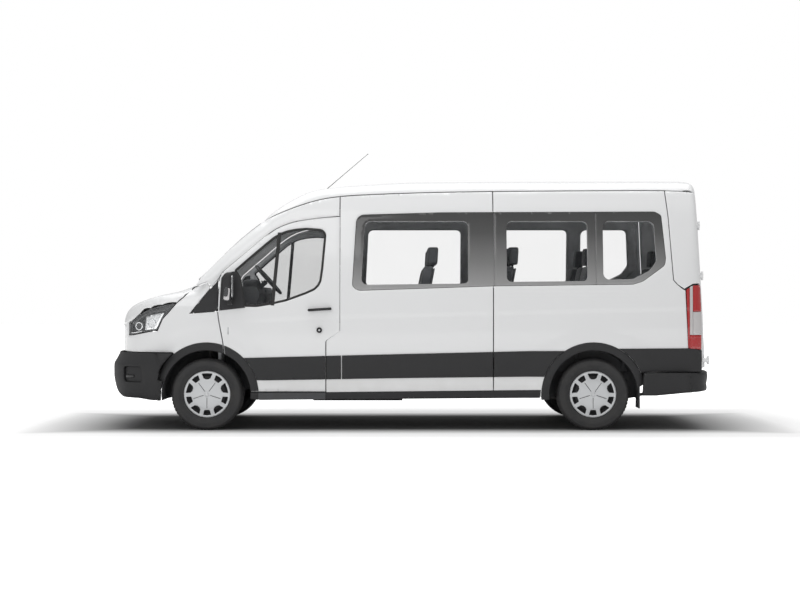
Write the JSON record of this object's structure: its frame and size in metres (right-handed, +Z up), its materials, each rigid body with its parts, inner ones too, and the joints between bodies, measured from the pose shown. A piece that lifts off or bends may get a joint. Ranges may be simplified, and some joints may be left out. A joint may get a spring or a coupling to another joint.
{
  "type": "minibus",
  "caption": "Mid-roof, long-wheelbase minibus with a glazed passenger cabin, opening cab doors, rear doors and bonnet, steering front wheels and four turning wheels.",
  "frame": {"origin": "on the ground, under the middle of the vehicle's length and width", "axes": "+Z up, the vehicle faces -X and its left side faces -Y"},
  "size_m": [5.981, 2.474, 2.7783],
  "materials": {
    "white_paint": "gloss",
    "black_plastic": "grained",
    "chassis_black": "satin",
    "steel": "satin",
    "glass": "gloss",
    "lamp_clear": "gloss",
    "lamp_red": "gloss",
    "tyre": "matt",
    "silver": "satin",
    "seat_cloth": "woven",
    "trim": "grained",
    "floor": "matt"
  },
  "bodies": {
    "body": {"floor_pan": "floor", "chassis_rails": "chassis_black", "cab_frame": "white_paint", "roof_panel": "white_paint", "left_side_panel": "white_paint", "right_side_panel": "white_paint", "sliding_door": "white_paint", "wings": "white_paint", "front_bumper": "black_plastic", "grille": "black_plastic", "headlamps": "lamp_clear", "windscreen": "glass", "side_glass": "glass", "tail_lamps": "lamp_red", "rear_bumper": "black_plastic", "side_mouldings": "black_plastic", "mudflaps": "black_plastic", "antenna": "black_plastic", "dashboard": "trim", "front_seats": "seat_cloth", "passenger_seats": "seat_cloth", "engine_block": "steel", "front_axle": "chassis_black", "rear_axle": "chassis_black", "fuel_tank": "black_plastic", "exhaust": "steel"},
    "steering_wheel": {"steering_wheel": "trim"},
    "bonnet": {"bonnet": "white_paint"},
    "left_cab_door": {"left_cab_door": "white_paint", "left_cab_glass": "glass", "left_mirror": "black_plastic"},
    "left_rear_door": {"left_rear_door": "white_paint", "left_rear_glass": "glass"},
    "left_knuckle": {"left_knuckle": "chassis_black"},
    "right_cab_door": {"right_cab_door": "white_paint", "right_cab_glass": "glass", "right_mirror": "black_plastic"},
    "right_rear_door": {"right_rear_door": "white_paint", "right_rear_glass": "glass"},
    "right_knuckle": {"right_knuckle": "chassis_black"},
    "front_left_wheel": {"front_left_wheel": "silver", "front_left_tyre": "tyre"},
    "front_right_wheel": {"front_right_wheel": "silver", "front_right_tyre": "tyre"},
    "rear_left_wheel": {"rear_left_wheel": "silver", "rear_left_tyre": "tyre"},
    "rear_right_wheel": {"rear_right_wheel": "silver", "rear_right_tyre": "tyre"}
  },
  "joints": [
    {"name": "left_steer", "type": "hinge", "parent": "body", "child": "left_knuckle", "pos_m": [-1.9675, -0.76, 0.348], "axis": [0, 0.2079, 0.9781], "range_deg": [-36, 36]},
    {"name": "right_steer", "type": "hinge", "parent": "body", "child": "right_knuckle", "pos_m": [-1.9675, 0.76, 0.348], "axis": [0, -0.2079, 0.9781], "range_deg": [-36, 36]},
    {"name": "steering_wheel_turn", "type": "hinge", "parent": "body", "child": "steering_wheel", "pos_m": [-1.4225, -0.44, 1.462], "axis": [-0.7431, 0, -0.6691], "range_deg": [-540, 540]},
    {"name": "front_left_spin", "type": "hinge", "parent": "left_knuckle", "child": "front_left_wheel", "pos_m": [-1.9675, -0.866, 0.348], "axis": [0, 1, 0], "continuous": true},
    {"name": "rear_left_spin", "type": "hinge", "parent": "body", "child": "rear_left_wheel", "pos_m": [1.7825, -0.8715, 0.348], "axis": [0, 1, 0], "continuous": true},
    {"name": "front_right_spin", "type": "hinge", "parent": "right_knuckle", "child": "front_right_wheel", "pos_m": [-1.9675, 0.866, 0.348], "axis": [0, 1, 0], "continuous": true},
    {"name": "rear_right_spin", "type": "hinge", "parent": "body", "child": "rear_right_wheel", "pos_m": [1.7825, 0.8715, 0.348], "axis": [0, 1, 0], "continuous": true},
    {"name": "bonnet_hinge", "type": "hinge", "parent": "body", "child": "bonnet", "pos_m": [-2.1325, 0, 1.345], "axis": [0, 1, 0], "range_deg": [0, 60]},
    {"name": "left_cab_door_hinge", "type": "hinge", "parent": "body", "child": "left_cab_door", "pos_m": [-1.7575, -0.9975, 1], "axis": [0, 0, -1], "range_deg": [0, 70]},
    {"name": "right_cab_door_hinge", "type": "hinge", "parent": "body", "child": "right_cab_door", "pos_m": [-1.7575, 0.9975, 1], "axis": [0, 0, 1], "range_deg": [0, 70]},
    {"name": "left_rear_door_hinge", "type": "hinge", "parent": "body", "child": "left_rear_door", "pos_m": [2.8865, -0.94224, 0.9], "axis": [0.0548, -0.074, -0.9958], "range_deg": [0, 180]},
    {"name": "right_rear_door_hinge", "type": "hinge", "parent": "body", "child": "right_rear_door", "pos_m": [2.8865, 0.94224, 0.9], "axis": [-0.0548, -0.074, 0.9958], "range_deg": [0, 180]}
  ],
  "couplings": [
    {"joint": "right_steer", "follows": "left_steer", "ratio": 1},
    {"joint": "steering_wheel_turn", "follows": "left_steer", "ratio": -15}
  ]
}
